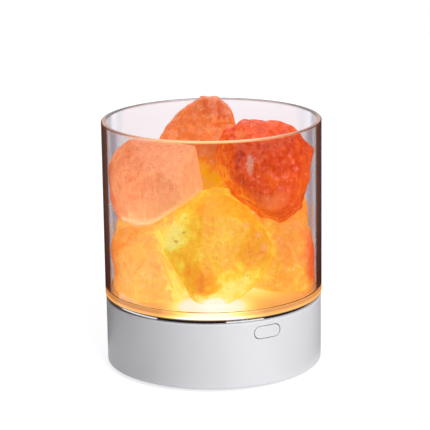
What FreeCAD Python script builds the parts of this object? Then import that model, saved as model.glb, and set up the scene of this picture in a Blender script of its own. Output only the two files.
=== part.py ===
import FreeCAD, Part

import math
import os

Vector = FreeCAD.Vector
UP = Vector(0, 0, 1)

# Salt crystal lamp: a clear cup of rock salt lumps, bonded on a round plastic base that holds
# a board with upward lamps, a side push button at the front (-Y) and a socket at the rear (+Y).
# Millimetres. The origin is on the table, under the lamp's axis.

# Clear cup
CUP_R = 43.0
CUP_H = 69.2
CUP_WALL = 2.0
CUP_FLOOR = 3.0
CUP_RIM_EDGE = 0.5
CUP_FLOOR_CORNER = 0.6
CUP_FOOT_EDGE = 0.4

# Bright ring and bond between cup and base
RING_H = 1.2
RING_WIDTH = 5.0
RING_SETBACK = 1.0
RING_EDGE = 0.3
BOND_T = 0.3
BOND_SETBACK = 0.8

# Base shell, a little narrower than the cup
BASE_SETBACK = 0.3
BASE_H = 25.8
BASE_WALL = 2.2
DECK_T = 2.2
DECK_STEP = 1.0
BASE_TOP_BEVEL = 0.5
BASE_FOOT_BEVEL = 0.4
SKIRT_WALL = 1.4

# Bottom cover and its fixings
COVER_T = 2.0
COVER_FIXINGS = 4
COVER_POST_R = 3.2
COVER_POST_INSET = 5.9
COVER_POST_ANGLE = 45.0
RIB_T = 1.4
RIB_H = 3.0
SCREW_R = 1.1
SCREW_HEAD_R = 2.3
SCREW_HEAD_H = 0.9
COVER_SCREW_LENGTH = 9.0

# Feet
FOOT_R = 5.0
FOOT_STAND = 1.5
FOOT_RECESS = 0.8
FOOT_INSET = 12.7
FOOT_EDGE = 0.6

# Board, hung from the deck so that the switch on it just clears
BOARD_T = 1.6
BOARD_MARGIN = 0.2
BOARD_TONGUE_W = 14.0
BOARD_BOSS_R = 3.0
BOARD_BOSS_INSET = 5.9
BOARD_FIXINGS = 3
BOARD_BOSS_ANGLE = 90.0
BOARD_SCREW_LENGTH = 5.6

# Light: emitters, reflector and window
EMITTERS = 6
EMITTER_SIZE = 3.5
EMITTER_H = 1.4
EMITTER_CIRCLE = 7.0
EMITTER_DISH_R = 1.35
EMITTER_DISH_DEPTH = 0.4
REFLECTOR_FLOOR_R = 11.0
REFLECTOR_WALL = 1.2
WINDOW_HOLE_R = 14.0
WINDOW_LEDGE = 2.0
WINDOW_T = 1.5
WINDOW_EDGE = 0.3

# Push button and its switch
BUTTON_W = 10.9
BUTTON_H = 4.6
BUTTON_CLEAR = 0.35
BUTTON_EDGE = 0.25
BUTTON_TRAVEL = 0.4
BUTTON_LIP = 1.2
BUTTON_LIP_T = 1.0
BUTTON_PAD_DEPTH = 1.3
BUTTON_PAD_MARGIN = 1.0
STEM_W = 2.6
STEM_GAP = 0.05
STEM_REACH = 7.3
SWITCH_W = 6.2
SWITCH_DEPTH = 3.6
SWITCH_H = 5.1
SWITCH_HEADROOM = 0.6
PLUNGER_W = 2.4
PLUNGER_H = 1.8
PLUNGER_RISE = 3.35
PLUNGER_OUT = 1.7
PLUNGER_IN = 1.5

# Rear socket
SOCKET_W = 7.6
SOCKET_H = 2.7
SOCKET_DEPTH = 5.6
SOCKET_SHELL = 0.35
SOCKET_CORNER = 0.7
SOCKET_RECESS = 0.9
SOCKET_OVERHANG = 0.6
TONGUE_W = 3.8
TONGUE_T = 0.6
TONGUE_LENGTH = 4.4
PORT_W = 12.0
PORT_H = 7.6
PORT_ROUND = 2.0

# Parts on the board's underside, each with its place on the board
CHIP_PLACE = (-10.0, -4.0)
CHIP_W = 5.0
CHIP_D = 4.0
CHIP_H = 1.5
CHIP_LEGS = 4
CHIP_LEG_PITCH = 1.27
CHIP_LEG_W = 0.45
CHIP_LEG_OUT = 1.0
CHIP_LEG_T = 0.3
COIL_PLACE = (9.0, 0.0)
COIL_SIZE = 6.0
COIL_CORNER = 1.0
COIL_H = 3.0
CAP_PLACE = (9.0, -12.0)
CAP_R = 2.5
CAP_H = 5.4
RESISTOR_PLACE = (-5.2, 9.0)
RESISTOR = (1.6, 3.2, 0.6)
RESISTOR_PITCH = 3.0
RESISTORS = 4

# Clearances
SLIP = 0.1
THREAD_CLEAR = 0.05
SCREW_CLEAR = 0.2
SEAT = 0.05

# The pile of salt is turned about the lamp's axis from the button's side. Each lump is drawn as
# seen from the pile's own front, on a grid that has 41 steps from the axis to the cup's bore.
PILE_TURN = -28.5
PILE_STEPS = 41

# Levels, from the table up
Z_SHELL = FOOT_STAND
Z_COVER_TOP = Z_SHELL + COVER_T
Z_DECK = Z_SHELL + BASE_H
Z_DECK_UNDER = Z_DECK - DECK_T
Z_PLATEAU = Z_DECK + DECK_STEP
Z_RING_TOP = Z_DECK + RING_H
Z_CUP = Z_RING_TOP + BOND_T
Z_FLOOR = Z_CUP + CUP_FLOOR
Z_BOARD = Z_DECK_UNDER - SWITCH_HEADROOM - SWITCH_H
Z_BOARD_UNDER = Z_BOARD - BOARD_T
Z_BUTTON = Z_BOARD + PLUNGER_RISE
Z_SOCKET = Z_BOARD + SOCKET_H / 2

# Radii and depths that follow
BASE_R = CUP_R - BASE_SETBACK
SHELL_BORE = BASE_R - BASE_WALL
SKIRT_BORE = BASE_R - SKIRT_WALL
RING_R = BASE_R - RING_SETBACK
RING_BORE = RING_R - RING_WIDTH
CUP_BORE = CUP_R - CUP_WALL
PILE_STEP = CUP_BORE / PILE_STEPS
WINDOW_SEAT_R = WINDOW_HOLE_R + WINDOW_LEDGE
Y_PAD = -(SHELL_BORE - BUTTON_PAD_DEPTH)
Y_PLUNGER = Y_PAD + STEM_REACH
Y_SWITCH = Y_PLUNGER + PLUNGER_OUT
Y_SWITCH_BACK = Y_SWITCH + SWITCH_DEPTH
BOARD_R = BOARD_MARGIN - Y_SWITCH
BOARD_BOSS_CIRCLE = BOARD_R - BOARD_BOSS_INSET
COVER_POST_CIRCLE = SHELL_BORE - COVER_POST_INSET
FOOT_CIRCLE = BASE_R - FOOT_INSET
Y_SOCKET = SHELL_BORE - SOCKET_RECESS
Y_BOARD_EDGE = Y_SOCKET - SOCKET_OVERHANG


def disc(radius, bottom, top, x=0, y=0):
    return Part.makeCylinder(radius, top - bottom, Vector(x, y, bottom))


def block(x0, x1, y0, y1, z0, z1):
    return Part.makeBox(x1 - x0, y1 - y0, z1 - z0, Vector(x0, y0, z0))


def polygon(points):
    return Part.makePolygon(points + [points[0]])


def revolved(profile):
    """Turn a closed (radius, height) outline about the lamp's axis."""
    face = Part.Face(polygon([Vector(r, 0, z) for r, z in profile]))
    return face.revolve(Vector(0, 0, 0), UP, 360)


def rounded_bar(width, height, radius, y0, y1, z):
    """A bar along Y with rounded corners, centred on x = 0 at height z."""
    bar = block(-width / 2, width / 2, y0, y1, z - height / 2, z + height / 2)
    edges = [e for e in bar.Edges if abs(e.tangentAt(e.FirstParameter).y) > 0.9]
    return bar.makeFillet(min(radius, 0.499 * height, 0.499 * width), edges)


def ring_edges(shape, radius, height):
    """The full circles of one radius at one height."""
    found = []
    for edge in shape.Edges:
        if isinstance(edge.Curve, Part.Circle):
            circle = edge.Curve
            if abs(circle.Radius - radius) < 1e-4 and abs(circle.Center.z - height) < 1e-4:
                found.append(edge)
    return found


def around(count, circle, first_angle):
    """Points spaced evenly round the lamp's axis."""
    angles = [math.radians(first_angle + 360 / count * i) for i in range(count)]
    return [(circle * math.cos(a), circle * math.sin(a)) for a in angles]


def cover_places():
    return around(COVER_FIXINGS, COVER_POST_CIRCLE, COVER_POST_ANGLE)


def board_places():
    return around(BOARD_FIXINGS, BOARD_BOSS_CIRCLE, BOARD_BOSS_ANGLE)


def foot_places():
    return around(4, FOOT_CIRCLE, 0)


def crystal_cup():
    rim = Z_CUP + CUP_H
    cup = disc(CUP_R, Z_CUP, rim)
    cup = cup.makeChamfer(CUP_FOOT_EDGE, ring_edges(cup, CUP_R, Z_CUP))
    bore = disc(CUP_BORE, Z_FLOOR, rim + 1)
    bore = bore.makeChamfer(CUP_FLOOR_CORNER, ring_edges(bore, CUP_BORE, Z_FLOOR))
    cup = cup.cut(bore)
    lip = ring_edges(cup, CUP_R, rim) + ring_edges(cup, CUP_BORE, rim)
    return cup.makeChamfer(min(CUP_RIM_EDGE, 0.45 * CUP_WALL), lip)


def bright_ring():
    ring = disc(RING_R, Z_DECK, Z_RING_TOP).cut(disc(RING_BORE, Z_DECK, Z_RING_TOP))
    return ring.makeChamfer(RING_EDGE, ring_edges(ring, RING_R, Z_RING_TOP))


def bond_ring():
    outer = RING_R - BOND_SETBACK
    inner = RING_BORE + BOND_SETBACK
    return disc(outer, Z_RING_TOP, Z_CUP).cut(disc(inner, Z_RING_TOP, Z_CUP))


def shell_body():
    """Side wall and deck, with a step that centres the bright ring."""
    shell = disc(BASE_R, Z_SHELL, Z_DECK)
    shell = shell.makeChamfer(BASE_TOP_BEVEL, ring_edges(shell, BASE_R, Z_DECK))
    shell = shell.makeChamfer(BASE_FOOT_BEVEL, ring_edges(shell, BASE_R, Z_SHELL))
    shell = shell.fuse(disc(RING_BORE - SLIP, Z_DECK - 1, Z_PLATEAU))
    shell = shell.cut(disc(SHELL_BORE, Z_SHELL - 1, Z_DECK_UNDER))
    shell = shell.cut(disc(SKIRT_BORE, Z_SHELL - 1, Z_COVER_TOP))
    shell = shell.cut(disc(WINDOW_HOLE_R, Z_DECK_UNDER - 1, Z_PLATEAU + 1))
    return shell.cut(disc(WINDOW_SEAT_R, Z_PLATEAU - WINDOW_T, Z_PLATEAU + 1))


def cover_post(x, y):
    """A screw post from the deck to the cover, with a rib out to the wall."""
    post = disc(COVER_POST_R, Z_COVER_TOP, Z_DECK_UNDER + 1, x, y)
    rib_top = Z_DECK_UNDER + 1
    rib = block(COVER_POST_CIRCLE, SHELL_BORE + 1, -RIB_T / 2, RIB_T / 2,
                Z_COVER_TOP + RIB_H, rib_top)
    rib.rotate(Vector(0, 0, 0), UP, math.degrees(math.atan2(y, x)))
    return post.fuse(rib)


def button_pad():
    """Thick place behind the button slot, with a flat face for the button's lip."""
    half_w = BUTTON_W / 2 + BUTTON_CLEAR + BUTTON_LIP + BUTTON_PAD_MARGIN
    pad_top = Z_DECK_UNDER + 1
    pad_foot = Z_BUTTON - BUTTON_H / 2 - BUTTON_CLEAR - BUTTON_LIP - BUTTON_PAD_MARGIN
    pad = block(-half_w, half_w, -BASE_R, Y_PAD, pad_foot, pad_top)
    return pad.common(disc(SHELL_BORE + 1, pad_foot, pad_top))


def base_shell():
    shell = shell_body()
    for x, y in cover_places():
        shell = shell.fuse(cover_post(x, y))
    for x, y in board_places():
        shell = shell.fuse(disc(BOARD_BOSS_R, Z_BOARD, Z_DECK_UNDER + 1, x, y))
    shell = shell.fuse(button_pad())
    for x, y in cover_places():
        depth = COVER_SCREW_LENGTH
        shell = shell.cut(disc(SCREW_R + THREAD_CLEAR, Z_SHELL, Z_SHELL + depth + 1, x, y))
    for x, y in board_places():
        pilot = disc(SCREW_R + THREAD_CLEAR, Z_BOARD - 1, Z_BOARD + BOARD_SCREW_LENGTH - BOARD_T, x, y)
        shell = shell.cut(pilot)
    slot_w = BUTTON_W + 2 * BUTTON_CLEAR
    slot_h = BUTTON_H + 2 * BUTTON_CLEAR
    slot_end = Y_PAD + BUTTON_LIP_T + BUTTON_TRAVEL + SLIP
    shell = shell.cut(rounded_bar(slot_w, slot_h, slot_h / 2, -BASE_R - 1, slot_end, Z_BUTTON))
    port = rounded_bar(PORT_W, PORT_H, PORT_ROUND, Y_SOCKET - 1, BASE_R + 1, Z_SOCKET)
    return shell.cut(port).removeSplitter()


def bottom_cover():
    cover = disc(SKIRT_BORE - SLIP, Z_SHELL, Z_COVER_TOP)
    head_room = SCREW_HEAD_H + SLIP
    for x, y in cover_places():
        cover = cover.cut(disc(SCREW_HEAD_R + SCREW_CLEAR, Z_SHELL - 1, Z_SHELL + head_room, x, y))
        cover = cover.cut(disc(SCREW_R + SCREW_CLEAR, Z_SHELL, Z_COVER_TOP + 1, x, y))
    for x, y in foot_places():
        cover = cover.cut(disc(FOOT_R + SLIP, Z_SHELL - 1, Z_SHELL + FOOT_RECESS, x, y))
    return cover


def screw(x, y, seat, length):
    """A pan head screw that points up, its head under the seat."""
    head = disc(SCREW_HEAD_R, seat - SCREW_HEAD_H, seat, x, y)
    head = head.makeChamfer(0.3 * SCREW_HEAD_H, ring_edges(head, SCREW_HEAD_R, seat - SCREW_HEAD_H))
    return head.fuse(disc(SCREW_R, seat - 0.1, seat + length, x, y))


def cover_screws():
    seat = Z_SHELL + SCREW_HEAD_H + SLIP
    length = COVER_SCREW_LENGTH - SCREW_HEAD_H
    return Part.makeCompound([screw(x, y, seat, length) for x, y in cover_places()])


def board_screws():
    length = BOARD_SCREW_LENGTH - THREAD_CLEAR
    return Part.makeCompound([screw(x, y, Z_BOARD_UNDER, length) for x, y in board_places()])


def rubber_foot(x, y):
    foot = disc(FOOT_R, 0, FOOT_STAND + FOOT_RECESS, x, y)
    return foot.makeChamfer(FOOT_EDGE, ring_edges(foot, FOOT_R, 0))


def main_board():
    board = disc(BOARD_R, Z_BOARD_UNDER, Z_BOARD)
    tongue = block(-BOARD_TONGUE_W / 2, BOARD_TONGUE_W / 2, 0, Y_BOARD_EDGE, Z_BOARD_UNDER, Z_BOARD)
    board = board.fuse(tongue)
    for x, y in board_places():
        board = board.cut(disc(SCREW_R + SCREW_CLEAR, Z_BOARD_UNDER - 1, Z_BOARD + 1, x, y))
    return board.removeSplitter()


def emitter(x, y):
    half = EMITTER_SIZE / 2
    top = Z_BOARD + EMITTER_H
    body = block(x - half, x + half, y - half, y + half, Z_BOARD, top)
    return body.cut(disc(EMITTER_DISH_R, top - EMITTER_DISH_DEPTH, top + 1, x, y))


def light_emitters():
    return Part.makeCompound([emitter(x, y) for x, y in around(EMITTERS, EMITTER_CIRCLE, 0)])


def reflector():
    low, high = REFLECTOR_FLOOR_R, WINDOW_HOLE_R
    wall = REFLECTOR_WALL
    return revolved([(low, Z_BOARD), (low + wall, Z_BOARD), (high + wall, Z_DECK_UNDER),
                     (high, Z_DECK_UNDER)])


def diffuser_window():
    window = disc(WINDOW_SEAT_R - SLIP, Z_PLATEAU - WINDOW_T, Z_PLATEAU)
    return window.makeChamfer(WINDOW_EDGE, ring_edges(window, WINDOW_SEAT_R - SLIP, Z_PLATEAU))


def power_button():
    """Oval cap, curved as the base is, with a lip behind the wall and a stem to the switch.

    The lip is cut off flat above, where it runs under the deck.
    """
    cap = rounded_bar(BUTTON_W, BUTTON_H, BUTTON_H / 2, -BASE_R - 1, Y_PAD + BUTTON_LIP_T, Z_BUTTON)
    cap = cap.common(disc(BASE_R, Z_SHELL, Z_DECK))
    lip_w = BUTTON_W + 2 * BUTTON_LIP
    lip_h = BUTTON_H + 2 * BUTTON_LIP
    lip = rounded_bar(lip_w, lip_h, lip_h / 2, Y_PAD, Y_PAD + BUTTON_LIP_T, Z_BUTTON)
    lip = lip.common(disc(SHELL_BORE, Z_SHELL, Z_DECK_UNDER - SLIP))
    stem = block(-STEM_W / 2, STEM_W / 2, Y_PAD + BUTTON_LIP_T / 2, Y_PLUNGER - STEM_GAP,
                 Z_BUTTON - STEM_W / 2, Z_BUTTON + STEM_W / 2)
    return cap.fuse(lip).fuse(stem).removeSplitter()


def plunger_bar(grow, y0, y1):
    half_w = PLUNGER_W / 2 + grow
    half_h = PLUNGER_H / 2 + grow
    return block(-half_w, half_w, y0, y1, Z_BUTTON - half_h, Z_BUTTON + half_h)


def switch_body():
    body = block(-SWITCH_W / 2, SWITCH_W / 2, Y_SWITCH, Y_SWITCH_BACK, Z_BOARD, Z_BOARD + SWITCH_H)
    return body.cut(plunger_bar(SLIP, Y_SWITCH - 1, Y_SWITCH + PLUNGER_IN + BUTTON_TRAVEL + SLIP))


def switch_plunger():
    return plunger_bar(0, Y_PLUNGER, Y_SWITCH + PLUNGER_IN)


def socket_bar(grow, y0, y1):
    """The socket's D-shaped section: its two lower corners are cut off."""
    w = SOCKET_W / 2 + grow
    low = Z_BOARD - grow
    high = Z_BOARD + SOCKET_H + grow
    corner = SOCKET_CORNER
    outline = [(-w + corner, low), (w - corner, low), (w, low + corner), (w, high), (-w, high),
               (-w, low + corner)]
    face = Part.Face(polygon([Vector(x, y0, z) for x, z in outline]))
    return face.extrude(Vector(0, y1 - y0, 0))


def usb_socket():
    back = Y_SOCKET - SOCKET_DEPTH
    return socket_bar(0, back, Y_SOCKET).cut(socket_bar(-SOCKET_SHELL, back + SOCKET_SHELL, Y_SOCKET + 1))


def usb_tongue():
    back = Y_SOCKET - SOCKET_DEPTH + SOCKET_SHELL
    return block(-TONGUE_W / 2, TONGUE_W / 2, back, back + TONGUE_LENGTH,
                 Z_SOCKET - TONGUE_T / 2, Z_SOCKET + TONGUE_T / 2)


def control_chip():
    """An eight-leg chip under the board, its legs bent to the board's face."""
    x, y = CHIP_PLACE
    top = Z_BOARD_UNDER
    body_top = top - CHIP_LEG_T / 2
    chip = block(x - CHIP_W / 2, x + CHIP_W / 2, y - CHIP_D / 2, y + CHIP_D / 2, body_top - CHIP_H, body_top)
    first = x - CHIP_LEG_PITCH * (CHIP_LEGS - 1) / 2
    for i in range(CHIP_LEGS):
        leg_x = first + CHIP_LEG_PITCH * i
        leg = block(leg_x - CHIP_LEG_W / 2, leg_x + CHIP_LEG_W / 2, y - CHIP_D / 2 - CHIP_LEG_OUT,
                    y + CHIP_D / 2 + CHIP_LEG_OUT, top - CHIP_LEG_T, top)
        chip = chip.fuse(leg)
    return chip


def board_parts():
    """Coil, capacitor and a row of resistors, each soldered to the board's underside."""
    under = Z_BOARD_UNDER
    half = COIL_SIZE / 2
    x, y = COIL_PLACE
    coil = block(x - half, x + half, y - half, y + half, under - COIL_H, under)
    coil = coil.makeChamfer(COIL_CORNER, [e for e in coil.Edges if abs(e.tangentAt(0).z) > 0.9])
    parts = [coil, disc(CAP_R, under - CAP_H, under, *CAP_PLACE)]
    width, length, height = RESISTOR
    first, y = RESISTOR_PLACE
    for i in range(RESISTORS):
        x = first + RESISTOR_PITCH * i
        parts.append(block(x, x + width, y, y + length, under - height, under))
    return Part.makeCompound(parts)


def pile_point(x, y, z):
    """A point of the pile's grid, set on the cup's floor."""
    return Vector(x * PILE_STEP, y * PILE_STEP, Z_FLOOR + z * PILE_STEP)


def faceted(sections):
    """A solid with flat sides between a row of sections that have their corners in step."""
    faces = [Part.Face(polygon(sections[0])), Part.Face(polygon(sections[-1]))]
    for near, far in zip(sections, sections[1:]):
        for i in range(len(near)):
            j = (i + 1) % len(near)
            faces.append(Part.Face(polygon([near[i], near[j], far[j], far[i]])))
    shell = Part.makeShell(faces)
    shell.sewShape()
    solid = Part.makeSolid(shell)
    if solid.Volume < 0:
        solid.reverse()
    return solid


def stone(outline, middle, front, back, lean=0):
    """One cleaved lump of salt.

    outline: (across, up) points of its widest section, as seen from the front of the pile.
    middle: depths between which it keeps that section.
    front, back: (depth, size, across, up) of its end faces, as a share of the outline and
    a shift of its centre. lean tips the lump back about its foot.
    """
    middle_x = sum(p[0] for p in outline) / len(outline)
    middle_z = sum(p[1] for p in outline) / len(outline)
    foot_y = (middle[0] + middle[1]) / 2
    tip = math.radians(lean)
    sections = []
    for depth, size, across, up in (front, (middle[0], 1, 0, 0), (middle[1], 1, 0, 0), back):
        section = []
        for x, z in outline:
            out_x = middle_x + across + (x - middle_x) * size
            out_z = middle_z + up + (z - middle_z) * size
            out_y = depth - foot_y
            y = foot_y + out_y * math.cos(tip) + out_z * math.sin(tip)
            section.append(pile_point(out_x, y, out_z * math.cos(tip) - out_y * math.sin(tip)))
        sections.append(section)
    lump = faceted(sections)
    under_floor = block(-CUP_R, CUP_R, -CUP_R, CUP_R, Z_CUP - CUP_H, Z_FLOOR + SEAT)
    lump = lump.cut(under_floor)
    lump.rotate(Vector(0, 0, 0), UP, PILE_TURN)
    return lump


def cleave(lump, turn, rise, depth):
    """Split a chip off the lump, from the side that faces (turn, rise), depth steps deep."""
    a, b = math.radians(turn + PILE_TURN), math.radians(rise)
    normal = Vector(math.cos(b) * math.sin(a), -math.cos(b) * math.cos(a), math.sin(b))
    reach = max(v.Point.dot(normal) for v in lump.Vertexes)
    size = 4 * CUP_R
    tool = Part.makeBox(size, size, size, Vector(-size / 2, -size / 2, 0))
    split = normal * (reach - depth * PILE_STEP)
    tool.Placement = FreeCAD.Placement(split, FreeCAD.Rotation(UP, normal))
    return lump.cut(tool)


def upper_stones():
    """The lumps on top, which lift off one by one."""
    left = stone([(-39.8, 50), (-37.4, 54.7), (-31, 59.5), (-17, 58), (-6.4, 56.2), (-3.4, 39.5),
                  (-8.5, 35.2), (-24, 25.8), (-30, 25), (-36.5, 28), (-39.8, 36)],
                 (-7, -3), (-23, 0.6, 1, -1), (6, 0.6, 0, 0))
    right = stone([(2, 54), (5.5, 62), (12.5, 66.2), (23, 65.8), (32, 62.6), (38.6, 55),
                   (37.9, 45), (34.2, 32.4), (26, 26.4), (18.6, 29.4), (8, 37.2), (2.8, 47)],
                  (-9, -3), (-25, 0.55, 0, 0), (7.5, 0.6, 0, 2))
    back = stone([(-21.5, 52), (-18, 59), (-9.3, 67.2), (-3, 70.6), (2.5, 70.7), (8.2, 65),
                  (10.5, 56), (8, 35), (-2, 28.2), (-14, 31)],
                 (17, 23), (9, 0.6, 0, -3), (35, 0.55, 0, -3))
    rear = stone([(12.5, 35.5), (13, 47.5), (20, 51.5), (28, 49.5), (31, 41.5), (29.5, 33.5), (22, 29.5),
                  (15, 30.5)],
                 (17, 23), (10.5, 0.7, 0, 0), (31, 0.5, -2, 0))
    return {"salt_upper_left": left, "salt_upper_right": right, "salt_upper_back": back,
            "salt_upper_rear": rear}


def lower_stones():
    """The lumps that stand on the cup's floor and carry the others."""
    left = stone([(-38.6, -1), (-39.2, 20), (-37.8, 24), (-35, 24.7), (-22.3, 24.7), (-10.5, 0),
                  (-11, -4), (-34, -4)],
                 (-9, -2), (-27, 0.55, 5, -4), (5, 0.7, 0, 0))
    front = stone([(-19.2, 20.2), (-16.6, 27.5), (-12.5, 34.4), (-2, 42), (5.5, 41), (12.5, 36),
                   (19, 29), (24, 19.2), (18, 8), (4, -3), (-6, -4)],
                  (-29, -22), (-37, 0.6, 0, 0), (-16, 0.6, 0, 0), lean=25)
    right = stone([(14, -1), (18.8, 22), (22.4, 26), (33.5, 26.2), (38, 22.5), (39.3, 14),
                   (39.2, 2), (37, -4), (17, -4)],
                  (-7, 0), (-19, 0.42, 3, -3), (5, 0.8, 0, 0))
    rear_left = stone([(-37, -3), (-39.2, 20), (-37.5, 32), (-33, 36), (-22, 35), (-14, 26),
                       (-12, 8), (-14, -3)],
                      (8, 10), (6.6, 0.9, 0, 0), (27, 0.5, 5, -3))
    core = stone([(-8, -3), (-9, 10), (-14.5, 24), (-14.5, 31), (-9, 35.5), (3, 37.5), (9, 36.8),
                  (16.3, 30), (14.5, 18), (12.5, 5), (11, -3)],
                 (0.6, 4.4), (-3.6, 0.5, 0, -7), (14, 0.6, 0, 0))
    rear_right = stone([(14, 4), (15, 24), (22, 32), (33, 36.5), (38, 34), (39, 24), (38, 6),
                        (34, -3), (18, -3)],
                       (9, 11), (6.6, 0.85, 0, 0), (28, 0.5, -5, -3))
    rear = stone([(-13, -3), (-13.5, 16), (-8, 28.5), (4, 31), (13, 25.5), (14.5, 8), (13, -3)],
                 (26, 30), (19, 0.6, 0, 0), (38.5, 0.5, 0, -2))
    return {"salt_lower_left": left, "salt_lower_front": front, "salt_lower_right": right,
            "salt_rear_left": rear_left, "salt_core": core, "salt_rear_right": rear_right,
            "salt_rear": rear}


# Chips split off each lump: (turn, rise, depth), turned from the front of the pile to its right.
CHIPS = {
    "salt_upper_left": [(-30, 40, 2.6), (30, 35, 2.2), (5, -30, 1.6), (170, 40, 2.4)],
    "salt_upper_right": [(-25, 40, 3.0), (40, 25, 2.4), (-50, -5, 2.0), (165, 30, 2.4)],
    "salt_upper_back": [(-30, 30, 2.6), (35, 30, 2.2), (160, 35, 3.0), (-150, 20, 2.4)],
    "salt_upper_rear": [(20, 45, 1.8), (150, 40, 2.0), (-160, 30, 1.6)],
    "salt_lower_left": [(-35, 40, 2.4), (0, 25, 2.2), (-150, 30, 2.2)],
    "salt_lower_front": [(-25, 25, 2.4), (30, 10, 2.4), (10, 60, 1.8), (-40, -20, 1.6)],
    "salt_lower_right": [(30, 40, 2.4), (-15, 30, 2.2), (60, 5, 1.6)],
    "salt_rear_left": [(-60, 40, 2.2), (-150, 30, 2.6), (165, 15, 2.2)],
    "salt_core": [(-10, 55, 1.0), (120, 35, 2.0), (-140, 35, 2.0)],
    "salt_rear_right": [(60, 40, 2.2), (150, 30, 2.6), (-170, 15, 2.2)],
    "salt_rear": [(180, 40, 2.6), (140, 15, 2.0), (-140, 15, 2.0)],
}


def salt_pile():
    pile = {**upper_stones(), **lower_stones()}
    for name, chips in CHIPS.items():
        for turn, rise, depth in chips:
            pile[name] = cleave(pile[name], turn, rise, depth)
    return pile


def build():
    parts = {
        "crystal_cup": crystal_cup(),
        "bright_ring": bright_ring(),
        "cup_bond_ring": bond_ring(),
        "base_shell": base_shell(),
        "bottom_cover": bottom_cover(),
        "cover_screws": cover_screws(),
        "main_board": main_board(),
        "board_screws": board_screws(),
        "light_emitters": light_emitters(),
        "light_reflector": reflector(),
        "diffuser_window": diffuser_window(),
        "power_button": power_button(),
        "switch_body": switch_body(),
        "switch_plunger": switch_plunger(),
        "usb_socket": usb_socket(),
        "usb_tongue": usb_tongue(),
        "control_chip": control_chip(),
        "board_parts": board_parts(),
    }
    for side, (x, y) in zip(("right", "rear", "left", "front"), foot_places()):
        parts["foot_" + side] = rubber_foot(x, y)
    parts.update(salt_pile())
    return parts


def main():
    os.makedirs("parts", exist_ok=True)
    for name, shape in build().items():
        shape.exportStep("parts/" + name + ".step")


main()
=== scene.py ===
import math

import bpy
from mathutils import Matrix, Vector


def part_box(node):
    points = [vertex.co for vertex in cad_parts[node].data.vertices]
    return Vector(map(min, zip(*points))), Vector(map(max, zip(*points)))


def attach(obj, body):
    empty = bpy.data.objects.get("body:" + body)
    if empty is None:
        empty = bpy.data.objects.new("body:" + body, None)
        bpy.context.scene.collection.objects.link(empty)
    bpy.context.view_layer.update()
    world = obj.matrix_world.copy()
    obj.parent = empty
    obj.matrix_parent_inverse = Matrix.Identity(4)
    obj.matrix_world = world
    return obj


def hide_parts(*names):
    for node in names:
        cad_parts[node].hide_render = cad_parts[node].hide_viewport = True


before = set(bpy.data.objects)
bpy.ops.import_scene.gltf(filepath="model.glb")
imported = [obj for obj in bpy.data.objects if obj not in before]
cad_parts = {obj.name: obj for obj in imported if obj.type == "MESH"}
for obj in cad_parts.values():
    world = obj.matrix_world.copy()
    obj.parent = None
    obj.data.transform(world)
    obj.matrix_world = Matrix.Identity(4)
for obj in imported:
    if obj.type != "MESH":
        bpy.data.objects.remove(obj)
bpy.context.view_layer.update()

# The view.
# A long lens stands in front of the lamp, a little above it, and looks slightly down. The lamp is
# turned so that its push button shows at the right of the middle.
MM = 0.001
PILE_TURN = math.radians(-28.5)          # the side that faces the lens, from the button's side
LENS_DISTANCE = 739.8 * MM
LENS_HEIGHT = 249.7 * MM
LENS_PITCH = math.radians(14.444)
LENS_YAW = math.radians(0.0743)
LENS_ROLL = math.radians(0.790)
LENS_FOCAL = 162.07

turned = Matrix.Rotation(PILE_TURN, 4, "Z")


def front(x, y, z):
    """A place given in millimetres with the lens's side as its front (-y)."""
    return turned @ Vector((x, y, z)) * MM


lens = bpy.data.cameras.new("lens")
lens.lens = LENS_FOCAL
camera = bpy.data.objects.new("lens", lens)
bpy.context.scene.collection.objects.link(camera)
bpy.context.scene.camera = camera
tip = Matrix.Rotation(math.pi / 2 - LENS_PITCH, 4, "X")
swing = Matrix.Rotation(-LENS_YAW, 4, "Z")
roll = Matrix.Rotation(-LENS_ROLL, 4, "Z")
stand = Matrix.Translation((0, -LENS_DISTANCE, LENS_HEIGHT))
camera.matrix_world = turned @ stand @ swing @ tip @ roll
bpy.context.scene.view_settings.view_transform = "Standard"


# The studio.
# A white table and backdrop, a soft box at the button's side, weak fills over the lamp and low
# behind it, and dark cards that only show in glass and metal, to draw their edges.
def colour(code):
    """An sRGB hex colour as the linear values that a socket takes."""
    channels = [int(code[i:i + 2], 16) / 255 for i in (1, 3, 5)]
    linear = [c / 12.92 if c <= 0.04045 else ((c + 0.055) / 1.055) ** 2.4 for c in channels]
    return (*linear, 1)


def add(tree, kind, inputs=None, **settings):
    """Adds a node with its settings. inputs: each socket's value, or the socket that feeds it."""
    made = tree.nodes.new(kind)
    for name, value in settings.items():
        setattr(made, name, value)
    for name, value in (inputs or {}).items():
        if isinstance(value, bpy.types.NodeSocket):
            tree.links.new(value, made.inputs[name])
        else:
            made.inputs[name].default_value = value
    return made


def new_finish(name):
    """An empty material and its node tree."""
    finish = bpy.data.materials.new(name)
    finish.use_nodes = True
    finish.node_tree.nodes.clear()
    return finish, finish.node_tree


def coat(tree, shader):
    """Gives a material its finished shader."""
    add(tree, "ShaderNodeOutputMaterial", {"Surface": shader})


def seen_ray(tree):
    """1 for rays that show the background: from the lens, or by way of metal or glass."""
    path = add(tree, "ShaderNodeLightPath")
    direct = add(tree, "ShaderNodeMath", {0: path.outputs["Is Camera Ray"],
                 1: path.outputs["Is Glossy Ray"]}, operation="MAXIMUM")
    return add(tree, "ShaderNodeMath", {0: direct.outputs[0],
               1: path.outputs["Is Transmission Ray"]}, operation="MAXIMUM").outputs[0]


def places(tree):
    """A point's place on the lamp, and the same place with the lens's side as its front."""
    place = add(tree, "ShaderNodeTexCoord").outputs["Object"]
    turn = add(tree, "ShaderNodeMapping", {"Vector": place, "Rotation": (0, 0, -PILE_TURN)})
    return place, turn.outputs[0]


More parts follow.
